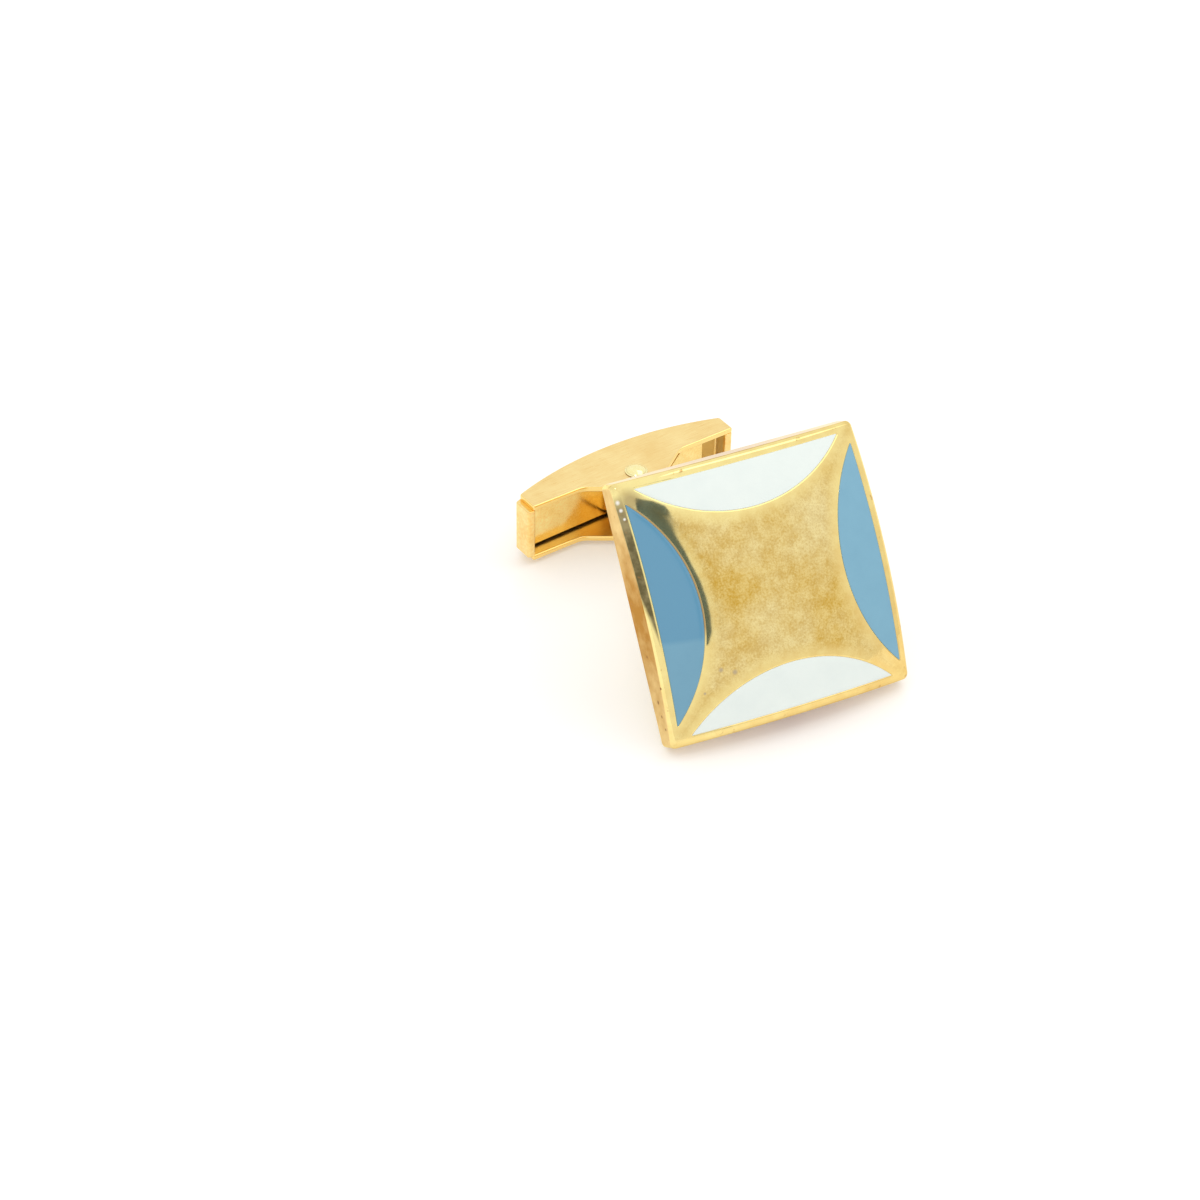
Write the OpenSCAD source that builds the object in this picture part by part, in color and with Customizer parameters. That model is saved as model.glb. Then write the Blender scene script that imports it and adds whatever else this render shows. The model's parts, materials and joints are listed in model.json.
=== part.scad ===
// A square domed cufflink with four enamel cells, a curved post and a sprung swivel toggle.
// It is modelled as it lies on a table: z = 0 is the table, the face looks towards -y and up,
// and the toggle lies flat behind it with its pin upright.

/* [Face] */
// Width of the square face
face_w = 17.4; // [14:0.2:20]
// Radius of the spherical dome on the front
dome_r = 38; // [28:1:50]
// Thickness of the plate at the tips of the enamel
plate_t = 1.95; // [1.6:0.05:2.6]
// Radius of the four upright corners
corner_r = 0.4; // [0.3:0.1:1.4]
// Size of the chamfer round the front edge
edge_bevel = 0.2; // [0.1:0.05:0.35]
// Angle by which the face leans back from upright, in degrees
lean = 33.8; // [30:0.2:37]

/* [Enamel] */
// Width of the gold rim outside the enamel
rim_w = 0.6; // [0.3:0.05:0.9]
// Distance of each cell's tips from the line of the next cell's straight side
tip_gap = 0.8; // [0.6:0.1:2]
// Depth of each cell from its straight side to the top of its arc
cell_sag = 2.94; // [1.8:0.02:3.2]
// Thickness of the enamel
enamel_t = 0.55; // [0.35:0.05:0.9]
// Hairline between the enamel and the metal of its cell
enamel_gap = 0.01; // [0.005:0.005:0.02]

/* [Post] */
// Width of the post across the toggle's swing
post_w = 1.2; // [0.9:0.05:1.3]
// Height of the post along the pin
post_h = 2.4; // [1.8:0.1:2.8]
// Rounding of the post's long edges
post_edge_r = 0.4; // [0.2:0.05:0.42]
// Distance from the pin to where the post starts to curve
post_start = 1.9; // [1.6:0.1:2.4]
// Radius of the round foot
foot_r = 2.3; // [1.9:0.1:3]
// Height of the foot's straight rim above the back of the face
foot_rim = 0.4; // [0.2:0.1:0.8]
// Height of the foot's cone
foot_cone = 1.3; // [0.8:0.1:2]
// Depth of the seat for the foot in the back of the face
seat_depth = 0.4; // [0.2:0.1:0.7]
// Distance from the pin to each flat of the cam
cam_flat = 1.45; // [1.3:0.05:1.6]
// Rounding of the cam's corners
cam_corner_r = 1; // [0.7:0.05:1.1]
// Length of the taper from the cam to the post
neck_l = 1.5; // [1.2:0.1:2.2]
// Depth by which the taper's end is sunk in the post
neck_sink = 0.1; // [0.05:0.05:0.2]

/* [Toggle] */
// Length of the toggle over its end blocks
toggle_l = 17.1; // [15:0.1:17.6]
// Turn of the toggle on its pin as it lies, in degrees
toggle_turn = 9; // [0:1:20]
// Thickness of the toggle over both cheeks
toggle_t = 4.6; // [4.2:0.1:5]
// Thickness of each cheek
cheek_t = 0.4; // [0.3:0.05:0.7]
// Distance from the pin to the top of the arched back
back_set = 3.55; // [3.4:0.05:4.2]
// Rise of the arched back from its ends to its middle
back_rise = 1.5; // [1.1:0.1:1.8]
// Distance of the straight front edges behind the pin
front_set = 0.47; // [0.4:0.05:0.7]
// Thickness of the arched web between the cheeks
web_t = 0.7; // [0.5:0.05:0.9]
// Length of each end block
end_block_l = 0.6; // [0.4:0.1:1]
// Length by which the left end block stands past the cheeks
end_proud = 0.42; // [0.1:0.02:0.5]
// Rounding of the back corners
back_corner_r = 0.25; // [0.2:0.05:0.9]
// Radius of the cheeks' lobes around the pin
lobe_r = 1.9; // [1.5:0.1:2.3]
// Slope of the lobe's flanks, in degrees
lobe_slope = 34; // [28:1:42]
// Fillet between a flank and the straight front edge
lobe_fillet_r = 1.4; // [0.8:0.1:2]

/* [Pin and spring] */
// Radius of the pivot pin
pin_r = 0.6; // [0.45:0.05:0.7]
// Radius of the pin's domed heads
head_r = 0.78; // [0.75:0.02:1.1]
// Height of the domed heads
head_h = 0.35; // [0.2:0.05:0.5]
// Running clearance between the pin and the post's bore
pin_gap = 0.03; // [0.02:0.01:0.06]
// Clearance between the pin and the cheeks that it is riveted through
rivet_gap = 0.01; // [0.005:0.005:0.02]
// Clearance between each side of the cam and its cheek
cam_side_gap = 0.1; // [0.06:0.01:0.15]
// Thickness of the leaf spring
spring_t = 0.2; // [0.12:0.02:0.26]
// Clearance between the leaf spring and each cheek
spring_side_gap = 0.2; // [0.1:0.05:0.3]
// Clearance between the leaf spring and the left end block
spring_left_gap = 0.2; // [0.1:0.05:1.5]
// Clearance between the leaf spring and the right end block
spring_right_gap = 1.05; // [0.1:0.05:1.5]
// Hairline between the leaf spring and what it bears on
spring_touch = 0.02; // [0.01:0.01:0.04]
// Half length of the flat middle of the leaf spring
spring_flat = 2.2; // [1.8:0.1:3]

/* [Hidden] */

// Colours
gold = [0.86, 0.68, 0.33];
pale_gold = [0.93, 0.79, 0.50];
white_enamel = [0.93, 0.95, 0.95];
blue_enamel = [0.42, 0.63, 0.75];
spring_gold = [0.80, 0.66, 0.42];

// Overrun of every cut
over = 1;
// Depth by which round outlines that would only touch are made to cross
bite = 0.002;
fine = 360;
smooth = 96;

// Face: its own z = 0 is the plane through the tips of the enamel
half_w = face_w / 2;
cell_out = half_w - rim_w;
cell_half = cell_out - tip_gap;
cell_r = (pow(cell_half, 2) + pow(cell_sag, 2)) / (2 * cell_sag);
cell_mid = cell_out - cell_sag + cell_r;
tip_dist = norm([cell_half, cell_out]);
dome_c = -sqrt(pow(dome_r, 2) - pow(tip_dist, 2));
floor_r = dome_r - enamel_t;
apex = dome_c + dome_r;
edge_ring_r = sqrt(pow(dome_r, 2) - pow(half_w, 2));
bevel_ring_r = sqrt(pow(dome_r, 2) - pow(half_w - edge_bevel, 2));
bevel_step = bevel_ring_r - edge_ring_r + edge_bevel;

// Toggle, seen along the pin: x along its length, +y to its arched back, pin at zero
channel_t = toggle_t - 2 * cheek_t;
cam_t = channel_t - 2 * cam_side_gap;
cam_front = cam_flat - cam_corner_r;
neck_end = cam_flat + neck_l;
pin_z = head_h + toggle_t / 2;
frame_half = toggle_l / 2;
back_r = (pow(frame_half, 2) + pow(back_rise, 2)) / (2 * back_rise);
back_mid = back_set - back_r;
web_r = back_r - web_t;
cavity_half = frame_half - end_block_l;
spring_left = cavity_half - spring_left_gap;
spring_right = cavity_half - spring_right_gap;
cam_reach = cam_front * (cos(toggle_turn) + sin(toggle_turn)) + cam_corner_r;
spring_mid_y = cam_reach + spring_touch;
head_ball_r = (pow(head_r, 2) + pow(head_h, 2)) / (2 * head_h);

// Post: level at the pin, then one arc that meets the back of the face squarely
post_drop = half_w * cos(lean) - pin_z;
curve_r = post_drop / (1 - cos(lean));
pin_reach = plate_t * cos(lean) + curve_r * sin(lean) + post_start;

// Place of the face and the pin, with zero in the middle of the whole cufflink's outline
corner = back_corner(frame_half);
left_x = -corner.x * cos(toggle_turn) - corner.y * sin(toggle_turn) - back_corner_r;
face_x = -(min(left_x, -half_w) + half_w) / 2;
face_z = half_w * cos(lean) + plate_t * sin(lean);
front_y = -(dome_c + bevel_ring_r) * cos(lean) - (half_w - edge_bevel) * sin(lean);
rear_y = pin_reach + back_mid * cos(toggle_turn) + back_r;
face_y = -(front_y + rear_y) / 2;
pin_y = face_y + pin_reach;

// Centre of a round back corner on an arched bar of that half length
function back_corner(half) = let (x = half - back_corner_r)
    [x, back_mid + sqrt(pow(back_r - back_corner_r + bite, 2) - pow(x, 2))];

// Front of the leaf spring where it bears on the web at that distance from the middle
function spring_end_y(x) = back_mid + sqrt(pow(web_r, 2) - pow(x, 2)) - spring_touch - spring_t;

module in_face() {
    translate([face_x, face_y, face_z]) rotate([90 - lean, 0, 0]) children();
}

module in_toggle() {
    translate([face_x, pin_y, 0]) rotate([0, 0, toggle_turn]) children();
}

// A rectangle with rounded corners, centred
module soft_rect(x, y, r) {
    square([x - 2 * r, y], center = true);
    square([x, y - 2 * r], center = true);
    for (sx = [-1, 1], sy = [-1, 1])
        translate([sx * (x / 2 - r), sy * (y / 2 - r)]) circle(r = r, $fn = smooth);
}

// Face

// One enamel cell in plan: a circular segment along the +y side
module cell_shape(gap) {
    intersection() {
        translate([0, cell_mid]) circle(r = cell_r - gap, $fn = fine);
        translate([-half_w, -half_w]) square([face_w, half_w + cell_out - gap]);
    }
}

module dome_ball(r) {
    translate([0, 0, dome_c]) sphere(r = r, $fn = fine);
}

// Ring that bevels the arched front edge on the +y side
module bevel_ring() {
    reach = over / edge_bevel;
    translate([0, 0, dome_c]) rotate([-90, 0, 0]) rotate_extrude($fn = fine) polygon([
        [bevel_ring_r + bevel_step * reach, half_w - edge_bevel - over],
        [bevel_ring_r + bevel_step * reach + over, half_w - edge_bevel - over],
        [bevel_ring_r + bevel_step * reach + over, half_w + over],
        [bevel_ring_r - bevel_step * (1 + reach), half_w + over]
    ]);
}

module face_plate() {
    color(gold) in_face() difference() {
        intersection() {
            translate([0, 0, -plate_t]) linear_extrude(plate_t + apex + over)
                soft_rect(face_w, face_w, corner_r);
            dome_ball(dome_r);
        }
        for (side = [0 : 3]) rotate([0, 0, 90 * side]) {
            bevel_ring();
            difference() {
                translate([0, 0, -plate_t]) linear_extrude(plate_t + apex + over) cell_shape(0);
                dome_ball(floor_r);
            }
        }
        translate([0, 0, -plate_t - over]) cylinder(h = over + seat_depth, r = foot_r + rivet_gap,
            $fn = smooth);
    }
}

// Glass that fills one cell flush with the dome
module enamel(side) {
    in_face() rotate([0, 0, 90 * side]) intersection() {
        difference() {
            translate([0, 0, -plate_t]) linear_extrude(plate_t + apex + over)
                cell_shape(enamel_gap);
            dome_ball(floor_r + enamel_gap);
        }
        dome_ball(dome_r);
    }
}

module enamel_white_top() {
    color(white_enamel) enamel(0);
}

module enamel_blue_left() {
    color(blue_enamel) enamel(1);
}

module enamel_white_bottom() {
    color(white_enamel) enamel(2);
}

module enamel_blue_right() {
    color(blue_enamel) enamel(3);
}

// Post

// Cam in plan: a rounded square around the pin that tapers forward into the post
module cam_shape() {
    soft_rect(2 * cam_flat, 2 * cam_flat, cam_corner_r);
    neck_half = post_w / 2 - neck_sink;
    polygon([
        [-cam_flat, 0], [cam_flat, 0], [cam_flat, -cam_front],
        [neck_half, -neck_end], [-neck_half, -neck_end], [-cam_flat, -cam_front]
    ]);
}

// Cam seen from the side: full thickness at the pin, thinned to the post along the neck
module cam_side() {
    neck_half = post_h / 2 - neck_sink;
    polygon([
        [cam_flat + over, -cam_t / 2], [cam_flat + over, cam_t / 2], [-cam_flat, cam_t / 2],
        [-neck_end, neck_half], [-neck_end, -neck_half], [-cam_flat, -cam_t / 2]
    ]);
}

module post() {
    color(gold) difference() {
        union() {
            translate([face_x, pin_y, pin_z]) {
                intersection() {
                    translate([0, 0, -cam_t / 2]) linear_extrude(cam_t) cam_shape();
                    translate([-cam_flat, 0, 0]) rotate([90, 0, 90]) linear_extrude(2 * cam_flat)
                        cam_side();
                }
                translate([0, -post_start, curve_r]) rotate([0, 90, 180])
                    rotate_extrude(angle = lean, $fn = fine) translate([curve_r, 0])
                        soft_rect(post_h, post_w, post_edge_r);
            }
            in_face() translate([0, 0, -plate_t]) {
                translate([0, 0, -foot_rim])
                    cylinder(h = foot_rim + seat_depth, r = foot_r, $fn = smooth);
                translate([0, 0, -foot_rim - foot_cone])
                    cylinder(h = foot_cone, r1 = post_h / 2, r2 = foot_r, $fn = smooth);
            }
        }
        translate([face_x, pin_y, 0]) cylinder(h = 2 * pin_z, r = pin_r + pin_gap, $fn = smooth);
    }
}

// Toggle

// The arched bar in plan, from the straight front edge to the back, with round back corners
module arched_bar(left, right) {
    near = back_corner(left);
    far = back_corner(right);
    intersection() {
        translate([0, back_mid]) circle(r = back_r, $fn = fine);
        translate([0, back_mid]) scale(2)
            polygon([[0, 0], [far.x, far.y - back_mid], [-near.x, near.y - back_mid]]);
        translate([-left, front_set]) square([left + right, back_set]);
    }
    translate([-left, front_set]) square([left, near.y - front_set]);
    translate([0, front_set]) square([right, far.y - front_set]);
    translate([-near.x, near.y]) circle(r = back_corner_r, $fn = smooth);
    translate(far) circle(r = back_corner_r, $fn = smooth);
}

// The lobe around the pin, with sloped flanks and a fillet into each straight edge
module lobe() {
    touch = (lobe_r - bite) * [sin(lobe_slope), -cos(lobe_slope)];
    flank_x = touch.x + (front_set - touch.y) / tan(lobe_slope);
    fillet_run = lobe_fillet_r * tan(lobe_slope / 2);
    circle(r = lobe_r, $fn = smooth);
    polygon([[0, 0], touch, [flank_x, front_set], [flank_x, front_set + web_t],
        [-flank_x, front_set + web_t], [-flank_x, front_set], [-touch.x, touch.y]]);
    for (sx = [-1, 1]) scale([sx, 1]) difference() {
        polygon([
            [flank_x, front_set + web_t],
            [flank_x - fillet_run * cos(lobe_slope), front_set - fillet_run * sin(lobe_slope)],
            [flank_x + fillet_run, front_set], [flank_x + fillet_run, front_set + web_t]
        ]);
        translate([flank_x + fillet_run, front_set - lobe_fillet_r])
            circle(r = lobe_fillet_r + bite, $fn = smooth);
    }
}

module cheek() {
    linear_extrude(cheek_t) difference() {
        union() {
            arched_bar(frame_half - end_proud, frame_half);
            lobe();
        }
        circle(r = pin_r + rivet_gap, $fn = smooth);
    }
}

module toggle_frame() {
    color(gold) in_toggle() translate([0, 0, head_h + cheek_t]) linear_extrude(channel_t)
        difference() {
            arched_bar(frame_half, frame_half);
            intersection() {
                translate([0, back_mid]) circle(r = web_r, $fn = fine);
                translate([-cavity_half, -over]) square([2 * cavity_half, back_set + over]);
            }
        }
}

module upper_cheek() {
    color(pale_gold) in_toggle() translate([0, 0, head_h + toggle_t - cheek_t]) cheek();
}

module lower_cheek() {
    color(pale_gold) in_toggle() translate([0, 0, head_h]) cheek();
}

// Leaf that bears on the cam's flat in the middle and on the web at both ends
module leaf_spring() {
    color(spring_gold) in_toggle() translate([0, 0, head_h + cheek_t + spring_side_gap])
        linear_extrude(channel_t - 2 * spring_side_gap) polygon([
            [-spring_left, spring_end_y(spring_left)], [-spring_flat, spring_mid_y],
            [spring_flat, spring_mid_y], [spring_right, spring_end_y(spring_right)],
            [spring_right, spring_end_y(spring_right) + spring_t],
            [spring_flat, spring_mid_y + spring_t], [-spring_flat, spring_mid_y + spring_t],
            [-spring_left, spring_end_y(spring_left) + spring_t]
        ]);
}

// Rivet with a domed head on each cheek
module pivot_pin() {
    color(gold) in_toggle() {
        translate([0, 0, head_h]) cylinder(h = toggle_t, r = pin_r, $fn = smooth);
        for (up = [0, 1]) translate([0, 0, head_h + up * toggle_t]) mirror([0, 0, 1 - up])
            intersection() {
                translate([0, 0, head_h - head_ball_r]) sphere(r = head_ball_r, $fn = smooth);
                cylinder(h = head_h + over, r = head_r + over, $fn = smooth);
            }
    }
}

face_plate();
enamel_white_top();
enamel_white_bottom();
enamel_blue_left();
enamel_blue_right();
post();
toggle_frame();
upper_cheek();
lower_cheek();
leaf_spring();
pivot_pin();
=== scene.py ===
import json
import math

import bpy
from mathutils import Euler, Matrix, Vector
from mathutils.geometry import delaunay_2d_cdt


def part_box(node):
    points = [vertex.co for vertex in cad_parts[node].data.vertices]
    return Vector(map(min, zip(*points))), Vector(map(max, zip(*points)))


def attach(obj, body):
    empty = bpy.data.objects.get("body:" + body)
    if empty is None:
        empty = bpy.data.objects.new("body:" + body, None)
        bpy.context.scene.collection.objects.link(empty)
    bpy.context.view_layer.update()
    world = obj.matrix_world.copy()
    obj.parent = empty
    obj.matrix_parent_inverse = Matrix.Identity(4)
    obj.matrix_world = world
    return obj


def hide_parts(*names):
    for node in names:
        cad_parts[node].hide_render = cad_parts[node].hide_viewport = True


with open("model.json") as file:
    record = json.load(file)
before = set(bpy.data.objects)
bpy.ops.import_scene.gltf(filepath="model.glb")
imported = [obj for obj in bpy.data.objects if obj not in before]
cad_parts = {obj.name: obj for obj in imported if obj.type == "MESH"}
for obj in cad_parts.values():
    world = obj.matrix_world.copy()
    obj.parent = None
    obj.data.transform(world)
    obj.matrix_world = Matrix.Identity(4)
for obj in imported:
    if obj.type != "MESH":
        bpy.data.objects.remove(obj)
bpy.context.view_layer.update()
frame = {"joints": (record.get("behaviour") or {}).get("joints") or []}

# Sizes are in millimetres, and what is made from them is turned into metres
mm = 0.001


# Outlines: a loop is a list of (x, y) points that runs counter-clockwise

samePlace = 1e-4
meshTolerance = 1e-6
cornerShare = 0.45  # the most that a soft corner takes of the sides beside it
longestMitre = 2  # the most that a sharp corner is pushed out, for a push of 1
rowShare = 0.87  # the height of an even triangle for a side of 1


def arcPoints(centre, radius, start, end, count):
    points = []
    for i in range(count + 1):
        a = math.radians(start + (end - start) * i / count)
        points.append((centre[0] + radius * math.cos(a), centre[1] + radius * math.sin(a)))
    return points


def quarterSteps(count):
    return [math.pi / 2 * i / count for i in range(count + 1)]


def bent(first, middle, last, t):
    # a place on the soft bend that cuts the corner at middle, for t from 0 to 1
    return [a * (1 - t) ** 2 + b * 2 * t * (1 - t) + c * t ** 2
            for a, b, c in zip(first, middle, last)]


def cleanLoop(points, least=samePlace):
    loop = []
    for p in points:
        if not loop or math.dist(loop[-1], p) > least:
            loop.append(p)
    while math.dist(loop[0], loop[-1]) <= least:
        loop.pop()
    return loop


def softCorners(points, radius, leastTurn=20, steps=5):
    # every corner that turns by more than the least turn, in degrees, becomes a small arc
    loop = []
    for i, p in enumerate(points):
        here = Vector(p)
        back, ahead = Vector(points[i - 1]) - here, Vector(points[(i + 1) % len(points)]) - here
        turn = math.pi - back.angle(ahead)
        if turn < math.radians(leastTurn):
            loop.append(p)
            continue
        run = min(radius * math.tan(turn / 2), cornerShare * back.length, cornerShare * ahead.length)
        first, last = here + back.normalized() * run, here + ahead.normalized() * run
        loop += [tuple(bent(first, here, last, k / steps)) for k in range(steps + 1)]
    return cleanLoop(loop)


def loopNormals(loop):
    normals = []
    for i, p in enumerate(loop):
        a, b = loop[i - 1], loop[(i + 1) % len(loop)]
        before = Vector((p[1] - a[1], a[0] - p[0])).normalized()
        after = Vector((b[1] - p[1], p[0] - b[0])).normalized()
        mid = (before + after).normalized()
        normals.append(mid / max(mid.dot(before), 1 / longestMitre))
    return normals


def pushed(loop, normals, distance):
    return [(p[0] + n.x * distance, p[1] + n.y * distance) for p, n in zip(loop, normals)]


def isInside(x, y, loop):
    crossings = 0
    for i, b in enumerate(loop):
        a = loop[i - 1]
        if (a[1] > y) != (b[1] > y) and x < a[0] + (b[0] - a[0]) * (y - a[1]) / (b[1] - a[1]):
            crossings += 1
    return crossings % 2 == 1


def evenPoints(gap, rows, columns, keep, base=0):
    # rows of places in even triangles, counted from the base, where keep(x, y) is true
    places = [((column + 0.5 * (row % 2)) * gap, base + row * gap * rowShare)
              for row in rows for column in columns]
    return [(x, y) for x, y in places if keep(x, y)]


def triangulated(loops, extra, keep):
    # constrained triangles through the loops and the extra points, where keep(x, y) is true
    points, edges = [], []
    for loop in loops:
        start = len(points)
        points += [Vector(p) for p in loop]
        edges += [(start + i, start + (i + 1) % len(loop)) for i in range(len(loop))]
    points += [Vector(p) for p in extra]
    out, _, faces, origins, _, _ = delaunay_2d_cdt(points, edges, [], 0, meshTolerance)
    order = {new: min(old) for new, old in enumerate(origins) if old}
    assert len(out) == len(points) == len(order)
    kept = []
    for f in faces:
        cx, cy = sum(out[i].x for i in f) / len(f), sum(out[i].y for i in f) / len(f)
        if keep(cx, cy):
            kept.append(tuple(order[i] for i in f))
    return points, kept


# Meshes

def makePiece(name, points, faces, place=Matrix.Identity(4), normals=None):
    mesh = bpy.data.meshes.new(name)
    mesh.from_pydata([place @ (Vector(p) * mm) for p in points], [], faces)
    mesh.validate()
    mesh.update()
    mesh.polygons.foreach_set("use_smooth", [True] * len(mesh.polygons))
    if normals:
        turn = place.to_3x3()
        mesh.normals_split_custom_set_from_vertices([turn @ n for n in normals])
    piece = bpy.data.objects.new(name, mesh)
    bpy.context.scene.collection.objects.link(piece)
    return piece


def weightShading(piece):
    # large flat faces keep their own shading, and the narrow rounded edges take up the turn
    weighted = piece.modifiers.new("Weighted shading", "WEIGHTED_NORMAL")
    weighted.weight = 100
    weighted.keep_sharp = True


def stackFaces(rings, count, closed=(True, True)):
    # a ring is given by the index of its first point, and the first and last ring may get a lid
    faces = [(a + i, a + (i + 1) % count, b + (i + 1) % count, b + i)
             for a, b in zip(rings, rings[1:]) for i in range(count)]
    if closed[0]:
        faces.append(tuple(reversed(range(rings[0], rings[0] + count))))
    if closed[1]:
        faces.append(tuple(range(rings[-1], rings[-1] + count)))
    return faces


def roundedPrism(name, loop, low, high, edge, place, steps=4):
    normals = loopNormals(loop)
    turns = quarterSteps(steps)
    levels = [(low + edge * (1 - math.sin(t)), edge * (1 - math.cos(t))) for t in reversed(turns)]
    levels += [(high - edge * (1 - math.sin(t)), edge * (1 - math.cos(t))) for t in turns]
    points = [(x, y, z) for z, inset in levels for x, y in pushed(loop, normals, -inset)]
    faces = stackFaces(range(0, len(points), len(loop)), len(loop))
    piece = makePiece(name, points, faces, place)
    weightShading(piece)
    return piece


def turnedPoints(profile, count):
    # profile is a list of (radius, height), and each of them gives a ring about the z axis
    turns = [2 * math.pi * i / count for i in range(count)]
    return [(r * math.cos(a), r * math.sin(a), z) for r, z in profile for a in turns]


# Node materials

def startMaterial(name):
    material = bpy.data.materials.new(name)
    material.use_nodes = True
    return material, material.node_tree, material.node_tree.nodes["Principled BSDF"]


def setInputs(tree, node, inputs):
    # an input takes a plain value or what another node gives
    for key, value in inputs.items():
        if isinstance(value, bpy.types.NodeSocket):
            tree.links.new(value, node.inputs[key])
        else:
            node.inputs[key].default_value = value


def addNode(tree, kind, settings=None, inputs=None):
    made = tree.nodes.new(kind)
    for key, value in (settings or {}).items():
        setattr(made, key, value)
    setInputs(tree, made, inputs or {})
    return made


def linear(colour):
    # a colour given as 0 to 255, as the shader wants it
    out = []
    for c in colour:
        c /= 255
        out.append(c / 12.92 if c <= 0.04045 else ((c + 0.055) / 1.055) ** 2.4)
    return (*out, 1)


def ownPlaces(tree, centre=(0, 0, 0), turn=(0, 0, 0), unit=(1, 1, 1)):
    # places on the piece, counted from a centre in metres along turned axes, in units of millimetres
    start = addNode(tree, "ShaderNodeTexCoord")
    return addNode(tree, "ShaderNodeMapping", {"vector_type": "TEXTURE"}, {
        "Vector": start.outputs["Object"], "Location": centre, "Rotation": turn,
        "Scale": Vector(unit) * mm}).outputs["Vector"]


def axes(tree, vector):
    return addNode(tree, "ShaderNodeSeparateXYZ", inputs={0: vector}).outputs[:]


def sums(tree, kind, *values, clamp=True):
    return addNode(tree, "ShaderNodeMath", {"operation": kind, "use_clamp": clamp},
                   dict(enumerate(values))).outputs["Value"]


def product(tree, mask, *others):
    for other in others:
        mask = sums(tree, "MULTIPLY", mask, other)
    return mask


def spread(tree, source, low, high, toLow=0, toHigh=1):
    return addNode(tree, "ShaderNodeMapRange", {"clamp": True}, {
        "Value": source, "From Min": low, "From Max": high, "To Min": toLow,
        "To Max": toHigh}).outputs["Result"]


def fade(tree, source, place, limits, *tones):
    # like spread, with its limits counted from a place
    return spread(tree, source, place + limits[0], place + limits[1], *tones)


def reachFrom(tree, where, place, flat=False):
    # the distance from a point or, when flat, from the upright line through it
    if flat:
        where = addNode(tree, "ShaderNodeVectorMath", {"operation": "MULTIPLY"},
                        {0: where, 1: (1, 1, 0)}).outputs[0]
    return addNode(tree, "ShaderNodeVectorMath", {"operation": "DISTANCE"},
                   {0: where, 1: place}).outputs["Value"]


def levelness(tree):
    # 1 where the piece faces straight up or down, and 0 where it stands upright
    facing = addNode(tree, "ShaderNodeTexCoord")
    return sums(tree, "ABSOLUTE", axes(tree, facing.outputs["Normal"])[2])


def blendColours(tree, factor, first, second):
    # a colour is given as 0 to 255 or comes from another node
    first, second = (linear(c) if isinstance(c, tuple) else c for c in (first, second))
    return addNode(tree, "ShaderNodeMix", {"data_type": "RGBA"},
                   {0: factor, 6: first, 7: second}).outputs[2]


def bumpFrom(tree, height, distance):
    return addNode(tree, "ShaderNodeBump", inputs={
        "Strength": 1, "Distance": distance * mm, "Height": height}).outputs["Normal"]


# Every pattern is noise with its own detail, roughness and seed
patterns = {
    "goldClouds": (5, 0.62, 0),
    "goldGrain": (3, 0.6, 7),
    "brushStrokes": (3, 0.6, 0),
    "brushClouds": (4, 0.6, 3),
    "glassClouds": (4, 0.6, 11),
    "glassGrain": (3, 0.5, 5),
    "faceClouds": (5, 0.6, 2),
    "faceSmears": (4, 0.6, 5),
    "faceGrain": (3, 0.6, 7),
    "wallClouds": (4, 0.6, 31),
    "stains": (2, 0.5, 23),
}


def noise(tree, where, size, pattern):
    detail, roughness, seed = patterns[pattern]
    return addNode(tree, "ShaderNodeTexNoise", {"noise_dimensions": "4D"}, {
        "Vector": where, "W": seed, "Scale": 1 / size, "Detail": detail,
        "Roughness": roughness}).outputs["Fac"]


# Gold plate: cloudy patches with fine grain

polishedLook = {
    "bright": (255, 228, 158),
    "deep": (246, 204, 124),
    "cloudSize": 1.6,
    "cloudShare": 0.72,
    "grainSize": 0.22,
    "grainShare": 0.28,
    "grainRange": (0.3, 0.7),
    "tintRange": (0.36, 0.66),
    "roughRange": (0.35, 0.7),
    "roughness": (0.05, 0.16),
    "ripple": 0.0012,
}


def cloudyGold(name, look, cover=None):
    # a cover changes the colour and the roughness of a part of the piece
    material, tree, shader = startMaterial(name)
    where = ownPlaces(tree)
    clouds = noise(tree, where, look["cloudSize"], "goldClouds")
    grain = noise(tree, where, look["grainSize"], "goldGrain")
    tint = sums(tree, "MULTIPLY_ADD", clouds, look["cloudShare"],
                spread(tree, grain, *look["grainRange"], 0, look["grainShare"]))
    colour = blendColours(tree, spread(tree, tint, *look["tintRange"]), look["deep"], look["bright"])
    rough = spread(tree, grain, *look["roughRange"], *look["roughness"])
    if cover:
        colour, rough = cover(tree, look, colour, rough)
    setInputs(tree, shader, {"Base Color": colour, "Metallic": 1, "Roughness": rough,
                             "Normal": bumpFrom(tree, clouds, look["ripple"])})
    return material


# Fired enamel: an even colour with faint clouds under a smooth glassy top

whiteLook = {
    "body": (238, 245, 239),
    "cloud": (232, 240, 235),
    "cloudSize": 2.2,
    "cloudRange": (0.3, 0.7),
    "grainSize": 1 / 9,
    "grainRange": (0.3, 0.8),
    "roughness": (0.07, 0.14),
    "ripple": 0.0006,
    "bending": 1.5,
}
blueRightLook = dict(whiteLook, body=(127, 178, 201), cloud=(121, 172, 196), cloudSize=2,
                     roughness=(0.05, 0.1))
# the left glass is painted darker above a height, a painted shade that stands in for a dark reflection
blueLeftLook = dict(blueRightLook, body=(116, 166, 190), cloud=(111, 161, 186),
                    upper=(98, 153, 183), upperRange=(7, 7.3))


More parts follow.
